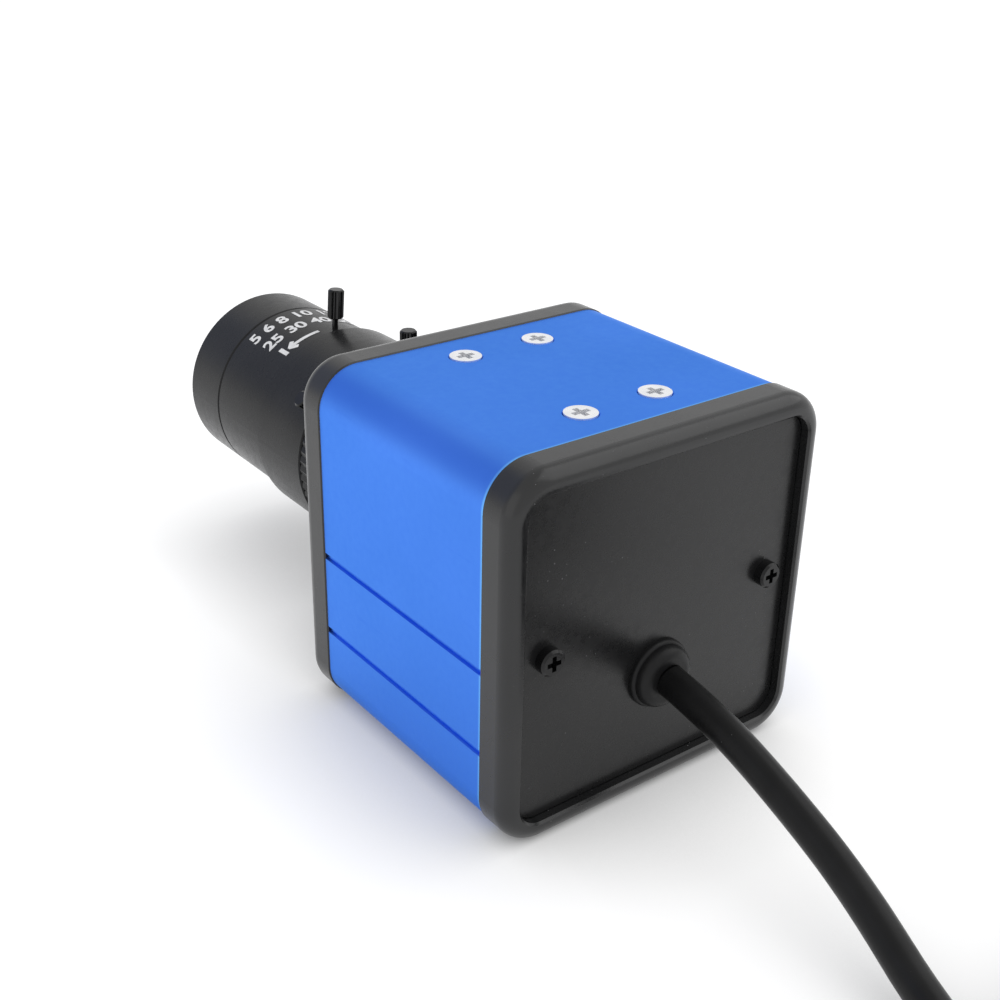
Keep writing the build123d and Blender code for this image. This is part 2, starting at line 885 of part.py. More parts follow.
def cell_glass(middle, length):
    # A biconvex glass held at its rim inside a cell.
    edge = tube_bore / 2 - running_gap - cell_wall - glass_gap
    rim_half = length / 5
    bulge = dome_height(edge, inner_glass_curve)
    half = edge / 2
    half_bulge = bulge - dome_height(half, inner_glass_curve)
    outline = [
        Line((edge, 0, middle - rim_half), (edge, 0, middle + rim_half)),
        ThreePointArc(
            (edge, 0, middle + rim_half),
            (half, 0, middle + rim_half + half_bulge),
            (0, 0, middle + rim_half + bulge),
        ),
        Line((0, 0, middle + rim_half + bulge), (0, 0, middle - rim_half - bulge)),
        ThreePointArc(
            (0, 0, middle - rim_half - bulge),
            (half, 0, middle - rim_half - half_bulge),
            (edge, 0, middle - rim_half),
        ),
    ]
    return laid_ahead(revolve(make_face(outline), Axis.Z))


def iris_unit():
    outer = tube_bore / 2 - running_gap
    start = seat + iris_place
    leaf = start + (iris_thickness - iris_leaf_thickness) / 2
    unit = tube(outer, outer - iris_rim, start, start + iris_thickness)
    unit += tube(outer - iris_rim / 2, iris_opening / 2, leaf, leaf + iris_leaf_thickness)
    return laid_ahead(unit)


def rear_lens():
    edge = rear_bore / 2 - glass_gap
    front = tube_back - rear_shoulder
    back = front - rear_glass_thickness
    return laid_ahead(lathe((0, back), (edge, back), (edge, front), (0, front)))


def rear_retainer():
    outer = rear_bore / 2 - thread_gap
    front = tube_back - rear_shoulder - rear_glass_thickness
    return laid_ahead(tube(outer, outer - rear_retainer_wall, front - rear_retainer_thickness, front))


def cable_grommet():
    def disc(diameter, start, end):
        return Pos(0, 0, start) * Cylinder(
            diameter / 2, end - start, align=(Align.CENTER, Align.CENTER, Align.MIN)
        )

    flange_top = plate_face + grommet_flange_thickness
    flange = disc(grommet_flange_diameter, plate_face, flange_top)
    flange = fillet(flange.edges().group_by(Axis.Z)[-1], grommet_flange_rounding)
    barrel = disc(grommet_barrel_diameter, plate_face, mouth)
    barrel = fillet(barrel.edges().group_by(Axis.Z)[-1], grommet_rounding)
    body = flange + barrel
    body += disc(grommet_neck_diameter, plate_back, plate_face)
    body += disc(grommet_flange_diameter, plate_back - grommet_inner_flange, plate_back)
    body -= disc(cable_diameter, plate_back - 2 * grommet_inner_flange, mouth + 1)
    return facing_back(body, 0, 0, grommet_height)


def strain_tie():
    front = plate_back - grommet_inner_flange
    ring = tube(strain_tie_diameter / 2, cable_diameter / 2, front - strain_tie_width, front)
    return facing_back(ring, 0, 0, grommet_height)


def inner_lead():
    core = Cylinder(
        cable_diameter / 2 - thread_gap, inner_lead_length, align=(Align.CENTER, Align.CENTER, Align.MAX)
    )
    return facing_back(core, 0, mouth, grommet_height)


def swept_tube(points, radius):
    # A round tube along straight runs joined by tangent arcs, each as large as its runs allow.
    vectors = [Vector(*point) for point in points]
    runs = [b - a for a, b in zip(vectors, vectors[1:])]
    radii = []
    for before, after in zip(runs, runs[1:]):
        turn = radians(before.get_angle(after))
        radii.append(bend_share * min(before.length, after.length) / tan(turn / 2))
    path = FilletPolyline(*points, radius=radii)
    start = Plane(vectors[0], z_dir=runs[0])
    body = sweep(start * Circle(radius), path=path)
    return body, path, radii


def lead_wires():
    start = -board_back + connector_depth + lead_plug[2]
    end = mouth - inner_lead_length
    third = (end - start) / 3
    wires = []
    for k in range(4):
        plug_x = (k - 1.5) * wire_pitch
        bundle_x = wire_bundle_step if k > 1 else -wire_bundle_step
        bundle_z = grommet_height + (wire_bundle_step if k in (1, 2) else -wire_bundle_step)
        points = [
            (plug_x, start, grommet_height),
            (plug_x, start + third, grommet_height),
            (bundle_x, end - third, bundle_z),
            (bundle_x, end, bundle_z),
        ]
        wires.append(swept_tube(points, wire_diameter / 2)[0])
    return Compound(wires)


def lead_plug_part():
    width, height, depth = lead_plug
    start = -board_back + connector_depth
    return prism(Pos(0, grommet_height) * Rectangle(width, height), start, start + depth)


def coil_centre():
    entry_x, entry_y, _ = cable_route[-1]
    outer_turn = coil_middle_radius + (coil_turns_across - 1) / 2 * coil_pitch
    angle = radians(coil_entry_angle)
    return entry_x - outer_turn * cos(angle), entry_y - outer_turn * sin(angle)


def coil_section():
    # Inner radius, outer radius, bottom and top of the coil.
    half = coil_turns_across * coil_pitch / 2
    bottom = tie_thickness
    top = bottom + coil_turns_high * coil_pitch
    return coil_middle_radius - half, coil_middle_radius + half, bottom, top


def cable_coil():
    inner, outer, bottom, top = coil_section()
    ring = tube(outer, inner, bottom, top)
    ring = fillet(ring.edges().filter_by(GeomType.CIRCLE), coil_rounding)
    return Pos(*coil_centre(), 0) * ring


def cable_ties():
    inner, outer, bottom, top = coil_section()
    thick = tie_thickness
    height = (bottom + top) / 2
    loop = Rectangle(outer - inner + 2 * thick, top - bottom + 2 * thick)
    loop -= Rectangle(outer - inner, top - bottom)
    place = Plane((coil_middle_radius, 0, height), x_dir=(1, 0, 0), z_dir=(0, -1, 0))
    span = degrees(tie_width / coil_middle_radius)
    tie = revolve(place * loop, Axis.Z, revolution_arc=span)
    centre = Pos(*coil_centre(), 0)
    return Compound([centre * Rot(0, 0, angle - span / 2) * tie for angle in tie_angles])


def cable_run():
    exit_point = (0.0, mouth, grommet_height)
    return swept_tube([exit_point] + cable_route, cable_diameter / 2)


def plug_height():
    return coil_section()[3] + plug_body[1] / 2


def tail_points():
    x, y = coil_centre()
    return [(x + across, y + along, height) for across, along, height in tail_route]


def cable_tail():
    return swept_tube(tail_points(), cable_diameter / 2)


def on_plug(solid):
    # Lays a solid built along +X, with the boot's end at the origin, where the tail ends.
    before, end = tail_points()[-2:]
    direction = degrees(atan2(end[1] - before[1], end[0] - before[0]))
    return Pos(end[0], end[1], plug_height()) * Rot(0, 0, direction) * solid


def block(size, start):
    width, height, length = size
    return Pos(start, 0, 0) * Box(length, width, height, align=(Align.MIN, Align.CENTER, Align.CENTER))


def plug_overmould():
    boot = Rot(0, 90, 0) * Cone(
        plug_boot_tip_diameter / 2,
        plug_boot_diameter / 2,
        plug_boot_length,
        align=(Align.CENTER, Align.CENTER, Align.MIN),
    )
    body = block(plug_body, plug_boot_length)
    body = fillet(body.edges().filter_by(Axis.X), plug_body_rounding)
    body = fillet(body.edges().group_by(Axis.X)[0], plug_body_rounding / 2)
    body = fillet(body.edges().group_by(Axis.X)[-1], plug_body_rounding / 2)
    return on_plug(boot + body)


def plug_shell_part():
    start = plug_boot_length + plug_body[2]
    width, height, length = plug_shell
    outer = fillet(block(plug_shell, start).edges().filter_by(Axis.X), plug_shell_corner)
    inner = block((width - 2 * plug_shell_wall, height - 2 * plug_shell_wall, length), start)
    shell = outer - inner
    opening = Box(*plug_window, 3 * height)
    for side in (-1, 1):
        shell -= Pos(start + plug_window_place, side * width / 4, 0) * opening
    return on_plug(shell)


def tongue_height():
    # The tongue lies against the shell's lower wall, as in such a plug.
    return -plug_shell[1] / 2 + plug_shell_wall + plug_tongue[1] / 2


def plug_tongue_part():
    start = plug_boot_length + plug_body[2]
    return on_plug(Pos(0, 0, tongue_height()) * block(plug_tongue, start))


def plug_contacts():
    start = plug_boot_length + plug_body[2] + plug_shell_wall
    height = tongue_height() + plug_tongue[1] / 2 + plug_contact[1] / 2
    places = [(k - 1.5) * plug_contact_pitch for k in range(4)]
    return Compound([on_plug(Pos(0, y, height) * block(plug_contact, start)) for y in places])


def save(name, shape):
    export_step(shape, f"parts/{name}.step")


run, run_path, run_radii = cable_run()
tail, tail_path, tail_radii = cable_tail()
rear_bezel = bezel()

pieces = {
    "housing_shell": housing_shell(),
    "rear_bezel": rear_bezel,
    "front_bezel": mirror(rear_bezel, about=Plane.XZ),
    "rear_plate": rear_plate(),
    "front_plate": front_plate(),
    "rear_screws": end_screws(facing_back),
    "front_screws": end_screws(facing_front),
    "top_screws": wall_screws(case_top, 0),
    "bottom_screws": wall_screws(bezel_proud, 180),
    "top_nut_plate": top_nut_plate(),
    "tripod_plate": tripod_plate(),
    "board_standoffs": board_standoffs(),
    "board_screws": board_screws(),
    "sensor_board": sensor_board(),
    "image_sensor": image_sensor(),
    "controller_chip": controller_chip(),
    "board_connector": board_connector(),
    "cs_holder": cs_holder(),
    "holder_screws": holder_screws(),
    "ir_filter": ir_filter(),
    "lens_mount_barrel": lens_mount_barrel(),
    "lens_barrel": lens_barrel(),
    "iris_ring": iris_ring(),
    "focus_ring": focus_ring(),
    "zoom_ring": zoom_ring(),
    "iris_lock_screw": iris_lock_screw(),
    "focus_lock_screw": focus_lock_screw(),
    "zoom_lock_screw": zoom_lock_screw(),
    "front_ring": front_ring(),
    "front_lens": front_lens(),
    "retaining_ring": retaining_ring(),
    "variator_cell": cell(middle_of_zoom_ring(), variator_length),
    "variator_lens": cell_glass(middle_of_zoom_ring(), variator_length),
    "variator_pin": cam_pin(middle_of_zoom_ring()),
    "focus_cell": cell(middle_of_focus_ring(), focus_cell_length),
    "focus_lens": cell_glass(middle_of_focus_ring(), focus_cell_length),
    "focus_pin": cam_pin(middle_of_focus_ring()),
    "iris_unit": iris_unit(),
    "rear_lens": rear_lens(),
    "rear_retainer": rear_retainer(),
    "cable_grommet": cable_grommet(),
    "strain_tie": strain_tie(),
    "inner_lead": inner_lead(),
    "lead_wires": lead_wires(),
    "lead_plug": lead_plug_part(),
    "cable_run": run,
    "cable_coil": cable_coil(),
    "cable_ties": cable_ties(),
    "cable_tail": tail,
    "plug_overmould": plug_overmould(),
    "plug_shell": plug_shell_part(),
    "plug_tongue": plug_tongue_part(),
    "plug_contacts": plug_contacts(),
}

for name, piece in pieces.items():
    save(name, piece)

turn_count = coil_turns_across * coil_turns_high
coil_length = turn_count * 2 * pi * coil_middle_radius
section_area = pi * (cable_diameter / 2) ** 2
print("pieces", len(pieces))
print("run radii", [round(r, 1) for r in run_radii], "tail radii", [round(r, 1) for r in tail_radii])
print("run volume against section times length", round(run.volume / (section_area * run_path.length), 4))
print("tail volume against section times length", round(tail.volume / (section_area * tail_path.length), 4))
print("cable length", round(run_path.length + coil_length + tail_path.length, 1))
print("coil centre", coil_centre(), "cable meets the plug at", tail_points()[-1])
print("lens seat", round(seat, 2), "lens front", round(front_end, 2), "lens axis", axis_height)
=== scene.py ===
import json
import math

import bmesh
import bpy
from mathutils import Matrix, Vector


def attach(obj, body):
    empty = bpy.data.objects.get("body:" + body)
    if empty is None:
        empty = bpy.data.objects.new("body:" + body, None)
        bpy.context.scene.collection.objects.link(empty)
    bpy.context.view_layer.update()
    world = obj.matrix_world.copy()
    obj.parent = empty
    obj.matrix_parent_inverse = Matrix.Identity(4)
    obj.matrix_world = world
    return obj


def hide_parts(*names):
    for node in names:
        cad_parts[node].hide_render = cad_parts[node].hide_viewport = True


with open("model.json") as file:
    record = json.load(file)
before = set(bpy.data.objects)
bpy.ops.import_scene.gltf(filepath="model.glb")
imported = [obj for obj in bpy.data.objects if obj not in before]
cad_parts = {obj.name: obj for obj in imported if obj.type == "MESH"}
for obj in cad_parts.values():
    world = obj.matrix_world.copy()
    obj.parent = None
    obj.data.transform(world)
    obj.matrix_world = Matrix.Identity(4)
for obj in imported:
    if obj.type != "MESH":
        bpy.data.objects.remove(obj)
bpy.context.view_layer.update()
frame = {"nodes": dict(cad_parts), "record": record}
nodes = frame["nodes"]
print("frame loaded:", len(nodes), "nodes")


shot = {
    "place": (0.129388, 0.154931, 0.137589),
    "azimuth": 142.551,  # degrees round from looking along +Y
    "elevation": 26.0675,
    "roll": 1.0961,
    "lens": 50.234,
    "sensor": 36.0,
    "nearest": 0.01,
    "furthest": 30.0,
}


def placeCamera():
    azimuth, elevation, roll = (math.radians(shot[key]) for key in ("azimuth", "elevation", "roll"))
    flat = math.cos(elevation)
    back = Vector((math.sin(azimuth) * flat, -math.cos(azimuth) * flat, math.sin(elevation)))
    level = (-back).cross(Vector((0, 0, 1))).normalized()
    upright = level.cross(-back)
    right = math.cos(roll) * level + math.sin(roll) * upright
    up = math.cos(roll) * upright - math.sin(roll) * level
    turn = Matrix((right, up, back)).transposed().to_4x4()
    view = bpy.data.cameras.new("studioCamera")
    view.lens = shot["lens"]
    view.sensor_width = shot["sensor"]
    view.clip_start = shot["nearest"]
    view.clip_end = shot["furthest"]
    camera = bpy.data.objects.new("studioCamera", view)
    camera.matrix_world = Matrix.Translation(shot["place"]) @ turn
    bpy.context.scene.collection.objects.link(camera)
    bpy.context.scene.camera = camera


lamps = {
    "keySoftbox": {"place": (-0.55, 0.30, 0.70), "aim": (0, 0, 0.03), "size": 0.9, "power": 2.2},
    "sideSoftbox": {"place": (0.75, 0.10, 0.35), "aim": (0, 0, 0.03), "size": 0.7, "power": 0.5},
}


def placeLamps():
    for name, lamp in lamps.items():
        light = bpy.data.lights.new(name, "AREA")
        light.size = lamp["size"]
        light.energy = lamp["power"]
        away = Vector(lamp["aim"]) - Vector(lamp["place"])
        turn = away.to_track_quat("-Z", "Y").to_matrix().to_4x4()
        softbox = bpy.data.objects.new(name, light)
        softbox.matrix_world = Matrix.Translation(lamp["place"]) @ turn
        bpy.context.scene.collection.objects.link(softbox)


studio = {
    "floorSize": 12.0,
    "floorColour": (0.46, 0.46, 0.46, 1),
    "floorRoughness": 0.7,
    "floorGlow": 0.70,  # only what the camera, gloss and glass see
    "paintedShadowReach": 0.028,  # how far from the object's foot the glow fades in, which paints a contact shadow on the floor
    "horizon": 0.96,  # the world's strength level with the object and overhead
    "zenith": 0.80,
    "cardToward": (0.44, -0.71, 0.55),  # a dark card that the rounded blue edge mirrors
    "cardReach": (0.80, 0.98),  # cosines of the angles where the card begins and is full
    "cardTint": (0.58, 0.64, 0.84),
}


def addMath(tree, operation, first, second):
    node = tree.nodes.new("ShaderNodeMath")
    node.operation = operation
    for socket, value in zip(node.inputs, (first, second)):
        if isinstance(value, (int, float)):
            socket.default_value = value
        else:
            tree.links.new(value, socket)
    return node.outputs[0]


def addRange(tree, value, fromMin, fromMax, toMin, toMax):
    scale = tree.nodes.new("ShaderNodeMapRange")
    limits = {"From Min": fromMin, "From Max": fromMax, "To Min": toMin, "To Max": toMax}
    for label, number in limits.items():
        scale.inputs[label].default_value = number
    tree.links.new(value, scale.inputs["Value"])
    return scale.outputs["Result"]


def seenMask(tree):
    # 1 where the camera, a reflection or glass looks, and 0 for light that falls on things
    path = tree.nodes.new("ShaderNodeLightPath")
    seen = addMath(tree, "MAXIMUM", path.outputs["Is Camera Ray"], path.outputs["Is Glossy Ray"])
    return addMath(tree, "MAXIMUM", seen, path.outputs["Is Transmission Ray"])


def mixColour(tree, factor, first, second):
    mix = tree.nodes.new("ShaderNodeMix")
    mix.data_type = "RGBA"
    tree.links.new(factor, mix.inputs["Factor"])
    for socket, value in zip((mix.inputs[6], mix.inputs[7]), (first, second)):
        if isinstance(value, tuple):
            socket.default_value = (*value, 1)
        else:
            tree.links.new(value, socket)
    return mix.outputs[2]


def buildWorld():
    world = bpy.data.worlds.new("studioWorld")
    world.use_nodes = True
    bpy.context.scene.world = world
    tree = world.node_tree
    direction = tree.nodes.new("ShaderNodeTexCoord")
    parts = tree.nodes.new("ShaderNodeSeparateXYZ")
    tree.links.new(direction.outputs["Generated"], parts.inputs[0])
    dome = addRange(tree, parts.outputs["Z"], 0.0, 1.0, studio["horizon"], studio["zenith"])
    facing = tree.nodes.new("ShaderNodeVectorMath")
    facing.operation = "DOT_PRODUCT"
    facing.inputs[1].default_value = studio["cardToward"]
    tree.links.new(direction.outputs["Generated"], facing.inputs[0])
    card = addRange(tree, facing.outputs["Value"], *studio["cardReach"], 0.0, 1.0)
    card.node.interpolation_type = "SMOOTHSTEP"
    path = tree.nodes.new("ShaderNodeLightPath")
    camera = path.outputs["Is Camera Ray"]
    strength = addMath(tree, "MAXIMUM", dome, camera)  # the camera sees plain white
    unseenCard = addMath(tree, "SUBTRACT", card, camera)
    unseenCard.node.use_clamp = True
    background = tree.nodes["Background"]
    sky = mixColour(tree, unseenCard, (1.0, 1.0, 1.0), studio["cardTint"])
    tree.links.new(sky, background.inputs["Color"])
    tree.links.new(strength, background.inputs["Strength"])


def buildFloor():
    paper = bpy.data.materials.new("paperFloor")
    paper.use_nodes = True
    tree = paper.node_tree
    shader = tree.nodes["Principled BSDF"]
    shader.inputs["Base Color"].default_value = studio["floorColour"]
    shader.inputs["Roughness"].default_value = studio["floorRoughness"]
    shader.inputs["Specular IOR Level"].default_value = 0.0
    shader.inputs["Emission Color"].default_value = (1, 1, 1, 1)
    # the glow fades by ambient occlusion near the object: a painted contact shadow on the floor
    openness = tree.nodes.new("ShaderNodeAmbientOcclusion")
    openness.inputs["Distance"].default_value = studio["paintedShadowReach"]
    shown = addMath(tree, "MULTIPLY", seenMask(tree), studio["floorGlow"])
    glow = addMath(tree, "MULTIPLY", openness.outputs["AO"], shown)
    tree.links.new(glow, shader.inputs["Emission Strength"])
    sheet = bmesh.new()
    bmesh.ops.create_grid(sheet, x_segments=1, y_segments=1, size=studio["floorSize"] / 2)
    data = bpy.data.meshes.new("studioFloor")
    sheet.to_mesh(data)
    sheet.free()
    data.materials.append(paper)
    floor = bpy.data.objects.new("studioFloor", data)
    bpy.context.scene.collection.objects.link(floor)


placeCamera()
placeLamps()
buildWorld()
buildFloor()
bpy.context.scene.view_settings.view_transform = "Standard"
print("studio ready")


def newGroup(name, inputs, outputs):
    group = bpy.data.node_groups.new(name, "ShaderNodeTree")
    group.interface.new_socket("Vector", in_out="INPUT", socket_type="NodeSocketVector")
    for label, value in inputs.items():
        socket = group.interface.new_socket(label, in_out="INPUT", socket_type="NodeSocketFloat")
        socket.default_value = value
    for label in outputs:
        group.interface.new_socket(label, in_out="OUTPUT", socket_type="NodeSocketFloat")
    return group, group.nodes.new("NodeGroupInput"), group.nodes.new("NodeGroupOutput")


def addNoise(tree, vector, scale, detail, roughness):
    noise = tree.nodes.new("ShaderNodeTexNoise")
    tree.links.new(vector, noise.inputs["Vector"])
    if isinstance(scale, (int, float)):
        noise.inputs["Scale"].default_value = scale
    else:
        tree.links.new(scale, noise.inputs["Scale"])
    noise.inputs["Detail"].default_value = detail
    noise.inputs["Roughness"].default_value = roughness
    return noise.outputs["Fac"]


# noise is the detail and the roughness of a noise, reach where its mask begins and is full
effectLooks = {
    "fineGrain": {
        "Scale": 3000.0, "noise": (3.0, 0.55), "toneShare": 0.16, "toneNoise": (2.0, 0.5),
        "toneReach": (0.3, 0.7),
    },
    "softMottle": {"Scale": 60.0, "noise": (2.5, 0.45), "reach": (0.32, 0.68)},
    "dustSpecks": {
        "Scale": 900.0, "Amount": 0.12, "gatherShare": 0.11, "gatherNoise": (2.0, 0.6),
        "gatherReach": (0.42, 0.68), "reach": (0.0, 0.04),
    },
    "hairScratches": {
        "Scale": 400.0, "Amount": 0.3, "noise": (4.0, 0.7), "reach": (0.66, 0.72),
        "stretch": (1.0, 0.06, 1.0), "lean": (0.2, 0.5, 0.6),
    },
}


def buildFineGrain(look):
    # blasted, moulded or cast skin: a fine height and a broader tone
    group, given, made = newGroup("fineGrain", {"Scale": look["Scale"]}, ("Height", "Tone"))
    height = addNoise(group, given.outputs["Vector"], given.outputs["Scale"], *look["noise"])
    broad = addMath(group, "MULTIPLY", given.outputs["Scale"], look["toneShare"])
    tone = addNoise(group, given.outputs["Vector"], broad, *look["toneNoise"])
    group.links.new(height, made.inputs["Height"])
    group.links.new(addRange(group, tone, *look["toneReach"], 0.0, 1.0), made.inputs["Tone"])
    return group


def buildSoftMottle(look):
    # slow unevenness over a whole face
    group, given, made = newGroup("softMottle", {"Scale": look["Scale"]}, ("Factor",))
    tone = addNoise(group, given.outputs["Vector"], given.outputs["Scale"], *look["noise"])
    group.links.new(addRange(group, tone, *look["reach"], 0.0, 1.0), made.inputs["Factor"])
    return group


def buildDustSpecks(look):
    # small separate specks, thinned by a broad noise so that they gather in places
    values = {"Scale": look["Scale"], "Amount": look["Amount"]}
    group, given, made = newGroup("dustSpecks", values, ("Mask",))
    cells = group.nodes.new("ShaderNodeTexVoronoi")
    group.links.new(given.outputs["Vector"], cells.inputs["Vector"])
    group.links.new(given.outputs["Scale"], cells.inputs["Scale"])
    broad = addMath(group, "MULTIPLY", given.outputs["Scale"], look["gatherShare"])
    gather = addNoise(group, given.outputs["Vector"], broad, *look["gatherNoise"])
    gathered = addRange(group, gather, *look["gatherReach"], 0.0, 1.0)
    reach = addMath(group, "MULTIPLY", gathered, given.outputs["Amount"])
    inside = addMath(group, "SUBTRACT", reach, cells.outputs["Distance"])
    group.links.new(addRange(group, inside, *look["reach"], 0.0, 1.0), made.inputs["Mask"])
    return group


def buildHairScratches(look):
    # short hair-thin scratches, drawn out along one direction of the given vector
    values = {"Scale": look["Scale"], "Amount": look["Amount"]}
    group, given, made = newGroup("hairScratches", values, ("Mask",))
    stretch = group.nodes.new("ShaderNodeMapping")
    stretch.inputs["Scale"].default_value = look["stretch"]
    stretch.inputs["Rotation"].default_value = look["lean"]
    group.links.new(given.outputs["Vector"], stretch.inputs["Vector"])
    lines = addNoise(group, stretch.outputs["Vector"], given.outputs["Scale"], *look["noise"])
    peaks = addRange(group, lines, *look["reach"], 0.0, 1.0)
    group.links.new(addMath(group, "MULTIPLY", peaks, given.outputs["Amount"]), made.inputs["Mask"])
    return group


effects = {
    "fineGrain": buildFineGrain(effectLooks["fineGrain"]),
    "softMottle": buildSoftMottle(effectLooks["softMottle"]),
    "dustSpecks": buildDustSpecks(effectLooks["dustSpecks"]),
    "hairScratches": buildHairScratches(effectLooks["hairScratches"]),
}


def useEffect(tree, name, vector, **values):
    node = tree.nodes.new("ShaderNodeGroup")
    node.node_tree = effects[name]
    tree.links.new(vector, node.inputs["Vector"])
    for label, value in values.items():
        node.inputs[label].default_value = value
    return node


# base and second are the two colours that the mottle runs between
finishLooks = {
    # the light cyan in caseBlue is a painted highlight, on the rear rim and on the side-groove floors
    "caseBlue": {
        "slot": "case_blue", "base": (0.073, 0.230, 0.80), "second": (0.083, 0.248, 0.85),
        "metallic": 1.0, "roughness": (0.34, 0.42), "mottle": 45, "grain": 5200, "bump": 0.000009,
        "edgeTint": (0.55, 0.78, 1.0), "dust": 0.04, "scratches": 0.12, "paintedHighlight": (0.20, 0.55, 1.0),
    },
    "blackMoulding": {
        "slot": "black_moulding", "base": (0.010, 0.0102, 0.0108), "second": (0.015, 0.0152, 0.0158),
        "roughness": (0.20, 0.28), "mottle": 70, "grain": 2600, "bump": 0.000010,
        "dust": 0.10, "scratches": 0.2,
    },
    "blackPlate": {
        "slot": "black_plate", "base": (0.007, 0.007, 0.0075), "second": (0.011, 0.011, 0.0115),
        "roughness": (0.24, 0.32), "mottle": 38, "grain": 4200, "bump": 0.000006, "ior": 1.42,
        "dust": 0.11, "scratches": 0.1,
    },
    "blackScrew": {
        "slot": "black_screw", "base": (0.004, 0.004, 0.0045), "second": (0.008, 0.008, 0.0085),
        "roughness": (0.12, 0.20), "mottle": 400, "grain": 3000, "bump": 0.000006, "ior": 1.36,
    },
    "silverScrew": {
        "slot": "silver_screw", "base": (0.84, 0.85, 0.87), "second": (0.93, 0.93, 0.94),
        "metallic": 0.7, "roughness": (0.22, 0.34), "mottle": 500, "grain": 4000, "bump": 0.000006,
        "scratches": 0.4,
    },
    "plainAluminium": {
        "slot": "plain_aluminium", "base": (0.55, 0.56, 0.58), "second": (0.63, 0.64, 0.66),
        "metallic": 1.0, "roughness": (0.30, 0.44), "mottle": 90, "grain": 2600, "bump": 0.000010,
        "scratches": 0.4,
    },
    "turnedBrass": {
        "slot": "brass", "base": (0.62, 0.46, 0.19), "second": (0.72, 0.55, 0.26),
        "metallic": 1.0, "roughness": (0.22, 0.34), "mottle": 300, "grain": 3000, "bump": 0.000006,
    },
    "turnedSteel": {
        "slot": "steel", "base": (0.48, 0.48, 0.50), "second": (0.58, 0.58, 0.60),
        "metallic": 1.0, "roughness": (0.24, 0.36), "mottle": 300, "grain": 3000, "bump": 0.000006,
    },
    "boardGreen": {
        "slot": "board", "base": (0.010, 0.085, 0.032), "second": (0.016, 0.115, 0.045),
        "roughness": (0.30, 0.42), "mottle": 260, "grain": 1400, "bump": 0.000012,
    },
    "chipBlack": {
        "slot": "chip", "base": (0.018, 0.018, 0.019), "second": (0.028, 0.028, 0.029),
        "roughness": (0.48, 0.60), "mottle": 300, "grain": 5000, "bump": 0.000008,
    },
    "ivoryPlastic": {
        "slot": "ivory_plastic", "base": (0.72, 0.68, 0.56), "second": (0.80, 0.76, 0.65),
        "roughness": (0.34, 0.44), "mottle": 200, "grain": 2400, "bump": 0.000006,
    },
    "lensBlack": {
        "slot": "lens_black", "base": (0.012, 0.012, 0.0125), "second": (0.017, 0.017, 0.0175),
        "roughness": (0.24, 0.32), "mottle": 110, "grain": 4200, "bump": 0.000006, "ior": 1.28,
        "dust": 0.09, "scratches": 0.15,
    },
    "grommetRubber": {
        "slot": "grommet_rubber", "base": (0.006, 0.006, 0.0065), "second": (0.010, 0.010, 0.0105),
        "roughness": (0.34, 0.46), "mottle": 260, "grain": 1900, "bump": 0.000012, "ior": 1.3,
        "dust": 0.08,
    },
    "cableJacket": {
        "slot": "cable_jacket", "base": (0.003, 0.003, 0.0032), "second": (0.006, 0.006, 0.0063),
        "roughness": (0.32, 0.42), "mottle": 180, "grain": 1600, "bump": 0.000012, "specular": 0.22,
        "dust": 0.10,
    },
    "plugMoulding": {
        "slot": "plug_body", "base": (0.016, 0.016, 0.017), "second": (0.024, 0.024, 0.025),
        "roughness": (0.42, 0.56), "mottle": 220, "grain": 1500, "bump": 0.000022, "dust": 0.12,
    },
    "giltContact": {
        "slot": "contacts", "base": (0.76, 0.55, 0.20), "second": (0.84, 0.64, 0.28),
        "metallic": 1.0, "roughness": (0.16, 0.26), "mottle": 500, "grain": 4000, "bump": 0.000003,
    },
    "tieStrap": {
        "slot": "tie_plastic", "base": (0.020, 0.020, 0.021), "second": (0.036, 0.036, 0.037),
        "roughness": (0.62, 0.80), "mottle": 320, "grain": 900, "bump": 0.00005, "dust": 0.16,
    },
    "whitePrint": {
        "slot": "lens_black", "base": (0.70, 0.70, 0.70), "second": (0.84, 0.84, 0.84),
        "roughness": (0.50, 0.62), "mottle": 900, "grain": 4200, "bump": 0.000004,
    },
}


# where the painted highlight runs along the case's rear rim
paintedHighlight = {"start": 0.0209, "end": 0.0212, "share": 0.7}
# where each side-groove floor is painted lighter, a painted highlight
paintedGrooveLight = {"middles": (0.0149, 0.02885), "start": 0.00042, "end": 0.00034, "share": 0.22}
wear = {"dustColour": (0.16, 0.16, 0.165), "dustRoughness": 0.8, "scratchRoughness": 0.5}


def paintedHighlightMask(tree, vector):
    # a painted highlight along the tube's sawn rear rim, lighter than the skin
    parts = tree.nodes.new("ShaderNodeSeparateXYZ")
    tree.links.new(vector, parts.inputs[0])
    return addRange(tree, parts.outputs["Y"], paintedHighlight["start"], paintedHighlight["end"], 0.0, paintedHighlight["share"])


def paintedGrooveLightMask(tree, vector):
    # a painted highlight on the floor of each side groove, a little lighter than the skin
    parts = tree.nodes.new("ShaderNodeSeparateXYZ")
    tree.links.new(vector, parts.inputs[0])
    offsets = [
        addMath(tree, "ABSOLUTE", addMath(tree, "SUBTRACT", parts.outputs["Z"], middle), 0)
        for middle in paintedGrooveLight["middles"]
    ]
    nearest = addMath(tree, "MINIMUM", *offsets)
    return addRange(tree, nearest, paintedGrooveLight["start"], paintedGrooveLight["end"], 0.0, paintedGrooveLight["share"])


